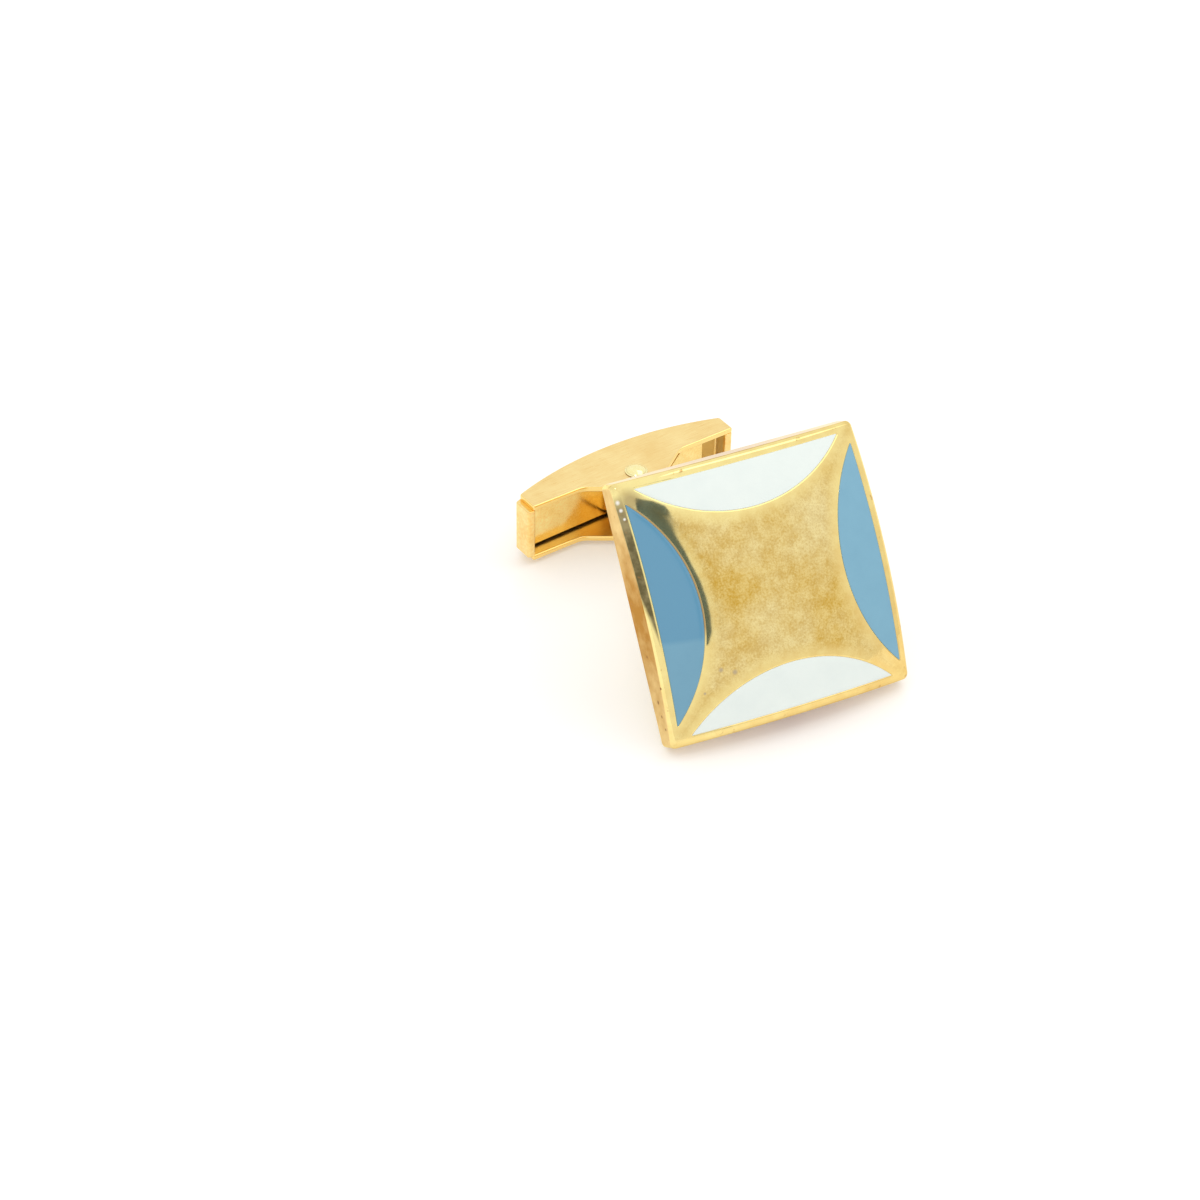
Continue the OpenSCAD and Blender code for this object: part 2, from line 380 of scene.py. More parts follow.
def firedEnamel(name, look):
    material, tree, shader = startMaterial(name)
    where = ownPlaces(tree)
    clouds = noise(tree, where, look["cloudSize"], "glassClouds")
    colour = blendColours(tree, spread(tree, clouds, *look["cloudRange"]), look["body"], look["cloud"])
    # painted shade: above the given height the glass is painted darker
    if "upper" in look:
        above = spread(tree, axes(tree, where)[2], *look["upperRange"])
        colour = blendColours(tree, above, colour, look["upper"])
    grain = noise(tree, where, look["grainSize"], "glassGrain")
    setInputs(tree, shader, {
        "Base Color": colour, "IOR": look["bending"],
        "Roughness": spread(tree, grain, *look["grainRange"], *look["roughness"]),
        "Normal": bumpFrom(tree, clouds, look["ripple"])})
    return material


polishedGold = cloudyGold("Polished gold plate", polishedLook)
whiteEnamel = firedEnamel("White enamel", whiteLook)
blueLeftEnamel = firedEnamel("Blue enamel at the left", blueLeftLook)
blueRightEnamel = firedEnamel("Blue enamel at the right", blueRightLook)
print("plain gold and enamel are ready")


def dress(piece, node, body, material):
    piece.data.materials.clear()
    piece.data.materials.append(material)
    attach(piece, body)
    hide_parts(node)


# The face: a square plate with a ball-shaped front, soft edges and four sunk cells

face = {
    "width": 17.4,
    "domeRadius": 38,
    "thickness": 1.95,
    "lean": 33.8,
    "cornerRadius": 0.4,
    "bevel": 0.2,
    "bevelSoftness": 0.1,
    "backRound": 0.12,
    "rimWidth": 0.6,
    "sidePoints": 40,
    "cornerSteps": 10,
    "backSteps": 7,
    "wallShares": (0.33, 0.66),
    "pointGap": 0.42,
    "clearShare": 0.35,
}
cell = {
    "tipGap": 0.8,
    "sag": 2.94,
    "depth": 0.55,
    "wallPush": 0.005,
    "lipRound": 0.14,
    "lipInset": 0.03,
    "lipSteps": 6,
    "arcPoints": 72,
    "chordPoints": 56,
    "tipPoints": 5,
}
enamelFill = {
    "dip": 0.03,
    "edgeDip": 0.012,
    "edgeWidth": 0.09,
    "overlap": 0.036,
    "floorGap": 0.02,
    "insets": (0.06, 0.15, 0.3),
    "closest": 0.02,
    "pointGap": 0.4,
    "clearShare": 0.3,
}

halfWidth = face["width"] / 2
cellOut = halfWidth - face["rimWidth"]
cellHalf = cellOut - cell["tipGap"]
cellArc = (cellHalf ** 2 + cell["sag"] ** 2) / (2 * cell["sag"])
cellMid = cellOut - cell["sag"] + cellArc
domeMid = -math.sqrt(face["domeRadius"] ** 2 - cellHalf ** 2 - cellOut ** 2)
lean = math.radians(face["lean"])
plateLow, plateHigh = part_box("face_plate")
facePlace = Matrix.Translation((
    (plateLow.x + plateHigh.x) / 2,
    plateHigh.y - (halfWidth * math.sin(lean) + face["thickness"] * math.cos(lean)) * mm,
    plateLow.z + (halfWidth * math.cos(lean) + face["thickness"] * math.sin(lean)) * mm,
)) @ Matrix.Rotation(math.pi / 2 - lean, 4, "X")


def dome(x, y):
    return domeMid + math.sqrt(face["domeRadius"] ** 2 - x * x - y * y)


def domeNormal(x, y):
    return Vector((x, y, dome(x, y) - domeMid)).normalized()


def quarterTurn(p, turns):
    for _ in range(turns):
        p = (-p[1], p[0])
    return p


def turnedSamples(samples, turns):
    return [(quarterTurn(p, turns), quarterTurn(n, turns)) for p, n in samples]


def cellOutline(inset):
    # the cell on the +y side: points with their outward directions, counter-clockwise
    out, arc = cellOut - inset, cellArc - inset
    tip = math.sqrt(arc ** 2 - (cellMid - out) ** 2)
    slope = math.degrees(math.atan2(out - cellMid, tip))
    chord = cell["chordPoints"]
    leftTip = arcPoints((0, 0), 1, 90, 180 - slope, cell["tipPoints"])
    inner = arcPoints((0, 0), 1, 180 - slope, 360 + slope, cell["arcPoints"])
    rightTip = arcPoints((0, 0), 1, slope, 90, cell["tipPoints"])
    return ([((tip - 2 * tip * i / chord, out), (0, 1)) for i in range(chord + 1)]
            + [((-tip, out), n) for n in leftTip[1:-1]]
            + [((arc * n[0], cellMid + arc * n[1]), n) for n in inner]
            + [((tip, out), n) for n in rightTip[1:-1]])


def cellDistance(x, y):
    # how far a point lies outside the nearest cell; below zero inside
    gaps = []
    for side in range(4):
        px, py = quarterTurn((x, y), (4 - side) % 4)
        above, reach = py - cellOut, math.hypot(px, py - cellMid)
        if above <= 0 and reach <= cellArc:
            gaps.append(max(above, reach - cellArc))
        elif reach > cellArc and cellMid + cellArc * (py - cellMid) / reach <= cellOut:
            gaps.append(reach - cellArc)
        else:
            gaps.append(math.hypot(max(abs(px) - cellHalf, 0), above))
    return min(gaps) + cell["lipInset"]


def squareDistance(x, y):
    # how far a point lies inside the plate's rounded square
    r = face["cornerRadius"]
    px, py = abs(x) - halfWidth + r, abs(y) - halfWidth + r
    return r - (math.hypot(max(px, 0), max(py, 0)) + min(max(px, py), 0))


def squareOutline():
    # points with their outward directions, counter-clockwise
    r, count = face["cornerRadius"], face["sidePoints"]
    side = [((halfWidth, (halfWidth - r) * (2 * i / count - 1)), (1, 0)) for i in range(count)]
    side += [((halfWidth - r + r * n[0], halfWidth - r + r * n[1]), n)
             for n in arcPoints((0, 0), 1, 0, 90, face["cornerSteps"])[:-1]]
    return [sample for turns in range(4) for sample in turnedSamples(side, turns)]


def softBevel(size, soft, steps=4):
    # a bevel with rounded corners: (inset, drop, facing) from the wall to the front
    run = soft / math.sqrt(2)
    bends = (((0, size + soft), (0, size), (run, size - run)),
             ((size - run, run), (size, 0), (size + soft, 0)))
    profile = []
    for bend in bends:
        for k in range(steps + 1):
            t = k / steps
            inward, up = ((b - a) * (1 - t) + (c - b) * t for a, b, c in zip(*bend))
            profile.append((*bent(*bend, t), math.atan2(inward, -up)))
    return profile


def facePlate():
    points, normals, faces = [], [], []

    def addRing(samples, push, height, facing, side=1, back=False):
        # facing turns from 0, along the ring's own direction, to a right angle, along the front
        start = len(points)
        for p, n in samples:
            x, y = p[0] + n[0] * push, p[1] + n[1] * push
            points.append((x, y, height(x, y)))
            front = Vector((0, 0, -1)) if back else domeNormal(x, y)
            outward = Vector((n[0], n[1], 0)) * side
            normals.append((outward * math.cos(facing) + front * math.sin(facing)).normalized())
        return start

    # outer wall, from the back to the front, and the two rounded edges
    square, back = squareOutline(), face["backRound"]
    bevel = softBevel(face["bevel"], face["bevelSoftness"])
    front, drop = bevel[-1][0], bevel[0][1]
    low = back - face["thickness"]
    rings = [addRing(square, -back * (1 - math.cos(t)), lambda x, y: low - back * math.sin(t), t,
                     back=True) for t in reversed(quarterSteps(face["backSteps"]))]
    rings += [addRing(square, 0, lambda x, y: low + (dome(x, y) - drop - low) * share, 0)
              for share in face["wallShares"]]
    rings += [addRing(square, -inset, lambda x, y: dome(x, y) - down, facing)
              for inset, down, facing in bevel]
    faces += stackFaces(rings, len(square), (True, False))
    fronts = [range(rings[-1], rings[-1] + len(square))]

    # the cells: a floor, a wall and a rounded lip
    lip, wall = cell["lipRound"], cell["wallPush"]
    base = cellOutline(cell["lipInset"])
    for side in range(4):
        samples = turnedSamples(base, side)
        rings = [addRing(samples, wall, lambda x, y: dome(x, y) - cell["depth"], 0, -1)]
        rings += [addRing(samples, wall + (lip - wall) * (1 - math.cos(t)),
                          lambda x, y: dome(x, y) - lip * (1 - math.sin(t)), t, -1)
                  for t in quarterSteps(cell["lipSteps"])]
        faces += stackFaces(rings[::-1], len(base), (False, True))
        fronts.append(range(rings[-1], rings[-1] + len(base)))

    # the dome between them
    gap = face["pointGap"]
    clear = face["clearShare"] * gap
    reach = int(halfWidth / gap) + 1
    extra = evenPoints(gap, range(-reach, reach + 1), range(-reach, reach + 1), lambda x, y:
                       cellDistance(x, y) > lip + clear and squareDistance(x, y) > front + clear)
    outer, *holes = [[points[i][:2] for i in ring] for ring in fronts]
    _, triangles = triangulated([outer, *holes], extra, lambda x, y: isInside(x, y, outer)
                                and not any(isInside(x, y, hole) for hole in holes))
    index = [i for ring in fronts for i in ring]
    index += range(len(points), len(points) + len(extra))
    points += [(x, y, dome(x, y)) for x, y in extra]
    normals += [domeNormal(x, y) for x, y in extra]
    faces += [tuple(index[i] for i in t) for t in triangles]
    return makePiece("facePlate", points, faces, facePlace, normals)


def enamelPiece(name, side):
    # glass poured to the lip: level in the middle, a little lower along its edge
    push, gap, insets = enamelFill["overlap"], enamelFill["pointGap"], enamelFill["insets"]
    edge = [(p[0] + n[0] * push, p[1] + n[1] * push) for p, n in cellOutline(cell["lipInset"])]

    def within(x, y):
        return -max(y - cellOut, math.hypot(x, y - cellMid) - cellArc)

    def top(x, y):
        near = max(within(x, y) + push, 0)
        return dome(x, y) - enamelFill["dip"] - enamelFill["edgeDip"] * math.exp(
            -near / enamelFill["edgeWidth"])

    loops = [edge]
    for inset in insets:
        loops.append(cleanLoop([p for p, n in cellOutline(inset)], enamelFill["closest"]))
    clear = insets[-1] + enamelFill["clearShare"] * gap
    rows, columns = int(cell["sag"] / gap) + 2, int(cellHalf / gap) + 2
    extra = evenPoints(gap, range(0, -rows, -1), range(-columns, columns + 1),
                       lambda x, y: within(x, y) > clear, cellOut)
    flatPoints, faces = triangulated(loops, extra, lambda x, y: isInside(x, y, edge))
    points = [(x, y, top(x, y)) for x, y in flatPoints]
    faces += stackFaces((len(points), 0), len(edge), (True, False))
    floor = cell["depth"] - enamelFill["floorGap"]
    points += [(x, y, dome(x, y) - floor) for x, y in edge]
    return makePiece(name, points, faces, facePlace @ Matrix.Rotation(math.pi / 2 * side, 4, "Z"))


# Gold of the face: bright along the rim and the cells, clouded by wear between them. A range gives
# the two values of a pattern or a place between which a tone changes, and where there are four
# values, the last two are the results
faceLook = {
    "clean": (254, 238, 164),
    "cleanShaded": (232, 198, 122),
    "rich": (211, 166, 56),
    "pale": (239, 222, 166),
    "bright": (249, 230, 161),
    "deep": (201, 162, 73),
    "wall": (238, 208, 148),
    "wallShaded": (178, 118, 28),
    "edgeTint": (255, 247, 218),
    "darkReflection": (82, 74, 50),
    "darkReflectionPale": (150, 136, 100),
    "crease": (160, 126, 88),
    "stain": (178, 122, 66),
    "cloudSize": 2.6,
    "smearSize": 0.8,
    "smearShare": 0.45,
    "smearRange": (0.35, 0.65),
    "grainSize": 0.13,
    "grainShare": 0.55,
    "tintRange": (0.4, 0.6),
    "toneRange": (0.28, 0.72),
    "fineShare": 0.5,
    "roughness": (0.04, 0.15),
    "leastHaze": 0.5,
    "ripple": 0.0007,
    "wearRange": (0.15, 1.1),
    "frontRange": (0.6, 1),
    "paintedSheenRange": (-15, 15, -0.05, 0.75),
    "smearSheen": 0.3,
    "wallRange": (-0.04, -0.01),
    "wallCloud": 1.1,
    "wallTones": (0.14, 0.82),
    "wallMiddleShade": (0, 7.5, 0.32, -0.28),
    "stainSize": 0.55,
    "stainTones": (0.66, 0.78),
    "stainRange": (-0.5, -0.3),
}
# Broad places between the cells where the gold is paler or deeper: x, y, radius and how much paler
wornPlaces = ((-3.2, 0.6, 2.8, -0.26), (4, -2.2, 4, -0.3), (3.8, 3.2, 3.4, 0.24), (0, 3.2, 2.6, -0.12),
              (-1, -3.4, 3.4, 0.17))
# Painted reflection: the rim at the left is painted dark down to a slanting line, and paler towards the
# top corner, standing in for a dark thing that it mirrors. The lip of the left cell gets a painted
# shade
paintedDarkAt = {
    "slope": 6.2,
    "start": (0.6, 1.8),
    "inner": (-0.16, -0.1, 0.92, 0),
    "top": (7.1, 8, 1, 0),
    "tones": (0.4, 0.7),
    "paler": (5.5, 7, 0, 0.2),
    "creaseAround": (0.08, 0.14, 0.8, 0),
    "creaseAbove": (-2.4, -1.4),
    "creaseInside": (0.05, 0.2),
}
# Small marks, each with its x and y on the face, its radius and how far below the front it lies
faceMarks = {
    "smudge": {"colour": (188, 168, 116), "places": ((-7.75, 7.4, 1, 0),)},
    "pits": {"colour": (190, 172, 140), "places": (
        (-4.75, -4.4, 0.2, 0), (-3.87, -4.77, 0.22, 0), (-6.05, -5.62, 0.12, 0))},
    # painted glints: three near-white spots on the left bevel stand in for small highlights
    "paintedGlints": {"colour": (255, 252, 244), "places": (
        (-8.55, 7.52, 0.2, 0), (-8.48, 7, 0.16, 0), (-8.42, 6.42, 0.12, 0))},
    "specks": {"colour": (130, 64, 34), "places": (
        (-8.7, -5.55, 0.18, 1), (-8.7, -4.6, 0.12, 0.2), (-8.7, -6.5, 0.14, 0.8),
        (-8.7, -7.35, 0.12, 0.5), (-8.7, -2.55, 0.12, 1.4))},
}
markCore, markStrength = 0.3, 0.9  # the share of its radius where a mark is full, and how full it is


def starGold(tree, look, onFace, clouds, smears):
    # rich and pale clouds with a finer pattern in them
    worn = clouds
    for x, y, r, amount in wornPlaces:
        reach = reachFrom(tree, onFace, (x, y, dome(x, y)))
        worn = sums(tree, "ADD", worn, spread(tree, reach, 0, r, amount, 0))
    tone = blendColours(tree, spread(tree, worn, *look["toneRange"]), look["rich"], look["pale"])
    grain = noise(tree, onFace, look["grainSize"], "faceGrain")
    tint = sums(tree, "MULTIPLY_ADD", smears, look["smearShare"],
                sums(tree, "MULTIPLY", grain, look["grainShare"]))
    fine = blendColours(tree, spread(tree, tint, *look["tintRange"]), look["deep"], look["bright"])
    return blendColours(tree, look["fineShare"], tone, fine)


def rimDarkReflection(tree, look, x, y, smears):
    # where the painted dark reflection lies, and its colour
    slope = paintedDarkAt["slope"]
    steep = sums(tree, "MULTIPLY_ADD", x, slope, y, clamp=False)
    inner = paintedDarkAt["inner"]
    darkReflectionMask = product(tree, fade(tree, steep, -slope * halfWidth, paintedDarkAt["start"]),
                    fade(tree, x, -cellOut, inner[:2], *inner[2:]), spread(tree, y, *paintedDarkAt["top"]))
    mottled = sums(tree, "ADD", smears, spread(tree, y, *paintedDarkAt["paler"]))
    return darkReflectionMask, blendColours(tree, spread(tree, mottled, *paintedDarkAt["tones"]), look["darkReflection"],
                               look["darkReflectionPale"])


def wornFaceGoldWithPaintedLight(look):
    material, tree, shader = startMaterial("Worn gold of the face with painted light")
    onFace = ownPlaces(tree, facePlace.translation, (math.pi / 2 - lean, 0, 0))
    x, y, z = axes(tree, onFace)
    folded = addNode(tree, "ShaderNodeVectorMath", {"operation": "ABSOLUTE"}, {0: onFace}).outputs[0]
    foldedX, foldedY, _ = axes(tree, folded)
    widest = sums(tree, "MAXIMUM", foldedX, foldedY, clamp=False)
    along = sums(tree, "MINIMUM", foldedX, foldedY, clamp=False)
    onFront = fade(tree, z, -face["thickness"], look["frontRange"])
    onWall = fade(tree, widest, halfWidth, look["wallRange"])
    clouds = noise(tree, onFace, look["cloudSize"], "faceClouds")
    smears = noise(tree, onFace, look["smearSize"], "faceSmears")

    # wear grows with the distance from the nearest cell
    away = [fade(tree, reachFrom(tree, folded, centre, flat=True), cellArc, look["wearRange"])
            for centre in ((0, cellMid, 0), (cellMid, 0, 0))]
    wear = product(tree, sums(tree, "MINIMUM", *away), onFront)
    # painted highlight: the clean gold is painted lighter towards the top left, with soft smears in it
    slant = sums(tree, "SUBTRACT", y, x, clamp=False)
    paintedSheen = sums(tree, "ADD", spread(tree, slant, *look["paintedSheenRange"]),
                 spread(tree, smears, *look["smearRange"], 0, look["smearSheen"]))
    clean = blendColours(tree, paintedSheen, look["cleanShaded"], look["clean"])
    colour = blendColours(tree, wear, clean, starGold(tree, look, onFace, clouds, smears))

    # painted reflection: the walls are painted darker and more orange than the front, most of all
    # halfway along, in mottled clouds, standing in for the gold and the floor that they mirror
    paintedWallShade = sums(tree, "ADD", noise(tree, onFace, look["wallCloud"], "wallClouds"),
                spread(tree, along, *look["wallMiddleShade"]))
    walls = blendColours(tree, spread(tree, paintedWallShade, *look["wallTones"]), look["wall"], look["wallShaded"])
    colour = blendColours(tree, onWall, colour, walls)

    # painted reflection: the rim at the left is painted dark
    darkReflectionMask, darkReflection = rimDarkReflection(tree, look, x, y, smears)
    darkReflectionMask = product(tree, darkReflectionMask, sums(tree, "SUBTRACT", 1, onWall), onFront)
    colour = blendColours(tree, darkReflectionMask, colour, darkReflection)
    # painted shade along the lip of the left cell
    around = paintedDarkAt["creaseAround"]
    reach = reachFrom(tree, onFace, (-cellMid, 0, 0), flat=True)
    onLip = product(tree, fade(tree, reach, cellArc, around[:2], *around[2:]),
                    spread(tree, y, *paintedDarkAt["creaseAbove"]),
                    fade(tree, x, -cellOut, paintedDarkAt["creaseInside"]), onFront)
    colour = blendColours(tree, onLip, colour, look["crease"])

    # a few stains on the rim and the walls, and the small marks, among them three painted glints
    spots = spread(tree, noise(tree, onFace, look["stainSize"], "stains"), *look["stainTones"])
    spots = product(tree, spots, fade(tree, widest, halfWidth, look["stainRange"]))
    colour = blendColours(tree, spots, colour, look["stain"])
    for marks in faceMarks.values():
        for markX, markY, r, drop in marks["places"]:
            reach = reachFrom(tree, onFace, (markX, markY, dome(markX, markY) - drop))
            inside = spread(tree, reach, markCore * r, r, markStrength, 0)
            colour = blendColours(tree, inside, colour, marks["colour"])

    haze = product(tree, wear, wear, spread(tree, smears, *look["smearRange"], look["leastHaze"], 1))
    setInputs(tree, shader, {
        "Base Color": colour, "Metallic": 1, "Roughness": spread(tree, haze, 0, 1, *look["roughness"]),
        "Normal": bumpFrom(tree, clouds, look["ripple"]), "Specular Tint": linear(look["edgeTint"])})
    return material


dress(facePlate(), "face_plate", "head", wornFaceGoldWithPaintedLight(faceLook))
for side, (name, node, slotName, material) in enumerate((
        ("whiteEnamelTop", "enamel_white_top", "white_enamel", whiteEnamel),
        ("blueEnamelLeft", "enamel_blue_left", "blue_enamel", blueLeftEnamel),
        ("whiteEnamelBottom", "enamel_white_bottom", "white_enamel", whiteEnamel),
        ("blueEnamelRight", "enamel_blue_right", "blue_enamel", blueRightEnamel))):
    dress(enamelPiece(name, side), node, "head", material)
print("face and enamel are made")


# The toggle: two brushed cheeks on an arched frame, with a leaf spring and a rivet

toggle = {
    "length": 17.1,
    "turn": 9,
    "thickness": 4.6,
    "cheek": 0.4,
    "backSet": 3.546,
    "backRise": 1.5,
    "frontSet": 0.47,
    "web": 0.7,
    "endBlock": 0.6,
    "leftProud": 0.42,
    "backCorner": 0.25,
    "lobeRadius": 1.9,
    "lobeSlope": 34,
    "lobeFillet": 1.4,
    "cheekEdge": 0.11,
    "frameEdge": 0.06,
    "cornerSoftness": 0.17,
    "backPoints": 96,
    "cavityPoints": 72,
    "lobePoints": 24,
    "bendPoints": 8,
}
rivet = {
    "radius": 0.6,
    "headRadius": 0.78,
    "headHeight": 0.35,
    "headSoftness": 0.05,
    "tipRadius": 0.004,
    "capSteps": 14,
    "ringPoints": 96,
}
spring = {
    "thickness": 0.2,
    "sideGap": 0.2,
    "leftGap": 0.2,
    "rightGap": 1.05,
    "flat": 2.2,
    "camReach": 1.5149,
    "touch": 0.02,
    "edge": 0.03,
    "bendRadius": 1.2,
    "leastBend": 1.2,
    "bendSteps": 8,
}

pinAt = Vector(frame["joints"][0]["pos_m"])
toggleTurn = math.radians(toggle["turn"])
togglePlace = Matrix.Translation((pinAt.x, pinAt.y, 0)) @ Matrix.Rotation(toggleTurn, 4, "Z")
halfLength = toggle["length"] / 2
cheekLeft = halfLength - toggle["leftProud"]
backRadius = (halfLength ** 2 + toggle["backRise"] ** 2) / (2 * toggle["backRise"])
backMid = toggle["backSet"] - backRadius
cavityHalf = halfLength - toggle["endBlock"]
webRadius = backRadius - toggle["web"]
cheekLow = rivet["headHeight"]
cheekHigh = cheekLow + toggle["thickness"]
frameLow, frameHigh = cheekLow + toggle["cheek"], cheekHigh - toggle["cheek"]


def archedBack(left, right):
    # from the right end's corner over the arched back to the left end's corner
    r, count = toggle["backCorner"], toggle["bendPoints"]
    bends = []
    for half in (left, right):
        x = half - r
        y = math.sqrt((backRadius - r) ** 2 - x ** 2)
        bends.append((x, backMid + y, math.degrees(math.atan2(y, x))))
    (leftX, leftY, leftLift), (rightX, rightY, rightLift) = bends
    back = arcPoints((0, backMid), backRadius, rightLift, 180 - leftLift, toggle["backPoints"])
    return (arcPoints((rightX, rightY), r, 0, rightLift, count) + back[1:-1]
            + arcPoints((-leftX, leftY), r, 180 - leftLift, 180, count))


def cheekLoop():
    front, slope, r = toggle["frontSet"], toggle["lobeSlope"], toggle["lobeRadius"]
    fillet, count = toggle["lobeFillet"], toggle["bendPoints"]
    flankLean = math.radians(slope)
    touch = (r * math.sin(flankLean), -r * math.cos(flankLean))
    flank = touch[0] + (front - touch[1]) / math.tan(flankLean)
    run = fillet * math.tan(flankLean / 2)
    leftFillet = arcPoints((-flank - run, front - fillet), fillet, 90, 90 - slope, count)
    lobe = arcPoints((0, 0), r, 270 - slope, 270 + slope, toggle["lobePoints"])
    rightFillet = arcPoints((flank + run, front - fillet), fillet, 90 + slope, 90, count)
    outline = archedBack(cheekLeft, halfLength) + [(-cheekLeft, front)] + leftFillet + lobe
    outline += rightFillet + [(halfLength, front)]
    return softCorners(cleanLoop(outline), toggle["cornerSoftness"])


def frameLoop():
    front = toggle["frontSet"]
    side = math.degrees(math.acos(cavityHalf / webRadius))
    cavity = arcPoints((0, backMid), webRadius, 180 - side, side, toggle["cavityPoints"])
    outline = archedBack(halfLength, halfLength) + [(-halfLength, front), (-cavityHalf, front)]
    outline += cavity + [(cavityHalf, front), (halfLength, front)]
    return softCorners(cleanLoop(outline), toggle["cornerSoftness"])


def springLoop():
    left, right = cavityHalf - spring["leftGap"], cavityHalf - spring["rightGap"]
    t = spring["thickness"]
    middle = spring["camReach"] + spring["touch"]
    leftEnd, rightEnd = (backMid + math.sqrt(webRadius ** 2 - x ** 2) - spring["touch"] - t
                         for x in (left, right))
    lower = [(-left, leftEnd), (-spring["flat"], middle), (spring["flat"], middle),
             (right, rightEnd)]
    upper = [(x, y + t) for x, y in reversed(lower)]
    return softCorners(lower + upper, spring["bendRadius"], spring["leastBend"], spring["bendSteps"])


def pivotRivet():
    r, h, head, steps = rivet["radius"], rivet["headHeight"], rivet["headRadius"], rivet["capSteps"]
    ball = (head ** 2 + h ** 2) / (2 * h)
    cap = []
    for i in range(steps + 1):
        a = math.asin(head / ball) * (1 - i / steps)
        cap.append((max(ball * math.sin(a), rivet["tipRadius"]), ball * math.cos(a) - ball + h))
    cap[0] = (head, rivet["headSoftness"])
    profile = [(x, cheekLow - z) for x, z in reversed(cap)]
    profile += [(head, cheekLow), (r, cheekLow), (r, cheekHigh), (head, cheekHigh)]
    profile += [(x, cheekHigh + z) for x, z in cap]
    count = rivet["ringPoints"]
    points = turnedPoints(profile, count)
    return makePiece("pivotRivet", points, stackFaces(range(0, len(points), count), count), togglePlace)


# Gold of the toggle. The frame's inside is painted darker and made rougher than its outside, a painted
# shade in the channel, and the inner faces of the end blocks are painted lighter, a painted light. The
# rivet is painted the palest gold, a painted highlight
brushedLook = {
    "bright": (255, 232, 166),
    "deep": (241, 204, 130),
    "edge": (252, 219, 140),
    "edgeRoughness": 0.08,
    "lineWidth": 0.05,
    "lineLength": 1.6,
    "lineShare": 0.55,
    "lineRange": (0.3, 0.7),
    "cloudSize": 2,
    "cloudShare": 0.45,
    "tintRange": (0.35, 0.65),
    "flatRange": (0.9, 0.99),
    "roughness": (0.18, 0.3),
    "depth": 0.004,
}
springLook = dict(polishedLook, bright=(255, 232, 160), deep=(244, 208, 126), cloudSize=1.1,
                  grainSize=0.12, roughness=(0.12, 0.26), ripple=0.001)
# painted highlight: the rivet is painted the palest gold, with a painted shade at the rim of its heads
rivetLook = dict(polishedLook, bright=(255, 248, 190), deep=(252, 236, 166), crease=(150, 104, 46),
                 creaseRange=(0.66, 0.8), cloudSize=0.5, grainSize=0.1, roughness=(0.03, 0.09),
                 ripple=0.0006)
frameLook = dict(polishedLook, inside=(208, 168, 92), insideRoughness=0.3, insideEnds=(-0.12, -0.05),
                 insideWeb=(0.02, 0.06), insideFront=(0.06, 0.3), block=(255, 240, 190),
                 blockRoughness=0.5, blockStart=(-0.05, -0.01), blockEnd=(0.01, 0.03),
                 blockWeb=(-0.06, 0))


def brushedGold(name, look):
    material, tree, shader = startMaterial(name)
    width = look["lineWidth"]
    lines = ownPlaces(tree, turn=(0, 0, toggleTurn), unit=(look["lineLength"], width, width))
    strokes = noise(tree, lines, 1, "brushStrokes")
    clouds = noise(tree, ownPlaces(tree), look["cloudSize"], "brushClouds")
    tint = sums(tree, "MULTIPLY_ADD", strokes, look["lineShare"],
                sums(tree, "MULTIPLY", clouds, look["cloudShare"]))
    brushed = blendColours(tree, spread(tree, tint, *look["tintRange"]), look["deep"], look["bright"])

    # only the flats are brushed: the rounded edges and the narrow walls stay polished
    flat = spread(tree, levelness(tree), *look["flatRange"])
    rough = spread(tree, strokes, *look["lineRange"], *look["roughness"])
    setInputs(tree, shader, {
        "Base Color": blendColours(tree, flat, look["edge"], brushed), "Metallic": 1,
        "Roughness": sums(tree, "MULTIPLY_ADD", flat, rough, look["edgeRoughness"]),
        "Normal": bumpFrom(tree, product(tree, flat, strokes), look["depth"])})
    return material


def headCreaseShade(tree, look, colour, rough):
    # painted shade: a dark ring where the heads meet the cheeks
    onCap = spread(tree, levelness(tree), *look["creaseRange"])
    return blendColours(tree, onCap, look["crease"], colour), rough


def shadedInside(tree, look, colour, rough):
    # painted shade: the inside of the channel is painted darker, and painted light: the inner faces of
    # the end blocks are painted lighter
    where = ownPlaces(tree, togglePlace.translation, (0, 0, toggleTurn))
    x, y, _ = axes(tree, where)
    across = sums(tree, "ABSOLUTE", x, clamp=False)
    reach = reachFrom(tree, where, (0, backMid, 0), flat=True)
    behind = fade(tree, y, toggle["frontSet"], look["insideFront"])
    inside = product(tree, behind, fade(tree, across, cavityHalf, look["insideEnds"], 1, 0),
                     fade(tree, reach, webRadius, look["insideWeb"], 1, 0))
    onBlock = product(tree, behind, fade(tree, across, cavityHalf, look["blockStart"]),
                      fade(tree, across, cavityHalf, look["blockEnd"], 1, 0),
                      fade(tree, reach, webRadius, look["blockWeb"], 1, 0))
    colour = blendColours(tree, inside, colour, look["inside"])
    rough = sums(tree, "MULTIPLY_ADD", inside, look["insideRoughness"], rough)
    return (blendColours(tree, onBlock, colour, look["block"]),
            sums(tree, "MULTIPLY_ADD", onBlock, look["blockRoughness"], rough))


